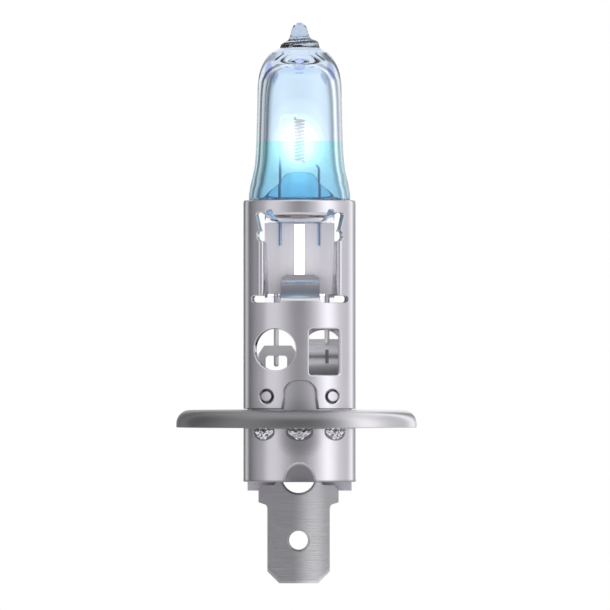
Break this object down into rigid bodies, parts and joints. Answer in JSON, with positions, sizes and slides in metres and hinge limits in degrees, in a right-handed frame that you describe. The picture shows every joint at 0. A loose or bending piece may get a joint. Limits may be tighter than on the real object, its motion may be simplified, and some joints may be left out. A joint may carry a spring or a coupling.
{
  "type": "halogen headlight bulb",
  "caption": "Single-filament halogen headlight bulb: blue-tinted glass capsule clamped in a slotted steel barrel on a round locating flange, with a flat blade terminal.",
  "frame": {"origin": "on the lamp axis, at the level of the flange's upper face, the reference plane of the cap", "axes": "+Z along the lamp axis towards the glass tip; the blade's broad faces look to -Y and +Y; +X is across the blade, towards the flange's flat"},
  "size_m": [0.0243, 0.0248, 0.0566],
  "materials": {
    "glass_capsule": "clear quartz glass, cyan-blue tint below a sharp coating edge, lavender above",
    "filament_coil": "bare drawn tungsten, lit",
    "long_inner_wire": "bare drawn molybdenum",
    "short_inner_wire": "bare drawn molybdenum",
    "ground_foil": "rolled molybdenum foil",
    "live_foil": "rolled molybdenum foil",
    "ground_outer_wire": "bare drawn molybdenum",
    "live_outer_wire": "bare drawn molybdenum",
    "clamp_barrel": "satin nickel-plated steel",
    "inner_collar": "satin nickel-plated steel",
    "collar_spot_welds": "polished weld faces",
    "locating_flange": "satin nickel-plated steel",
    "base_shell": "satin nickel-plated steel",
    "flange_tack_welds": "bright weld metal",
    "insulator": "matt pale steatite",
    "terminal_blade": "finely brushed across its width",
    "live_lug": "satin nickel-plated strip",
    "ground_bracket": "satin nickel-plated strip"
  },
  "bodies": {
    "root": {"glass_capsule": "glass_capsule", "filament_coil": "filament_coil", "long_inner_wire": "long_inner_wire", "short_inner_wire": "short_inner_wire", "ground_foil": "ground_foil", "live_foil": "live_foil", "ground_outer_wire": "ground_outer_wire", "live_outer_wire": "live_outer_wire", "clamp_barrel": "clamp_barrel", "inner_collar": "inner_collar", "collar_spot_welds": "collar_spot_welds", "locating_flange": "locating_flange", "base_shell": "base_shell", "flange_tack_welds": "flange_tack_welds", "insulator": "insulator", "terminal_blade": "terminal_blade", "live_lug": "live_lug", "ground_bracket": "ground_bracket"}
  },
  "joints": []
}
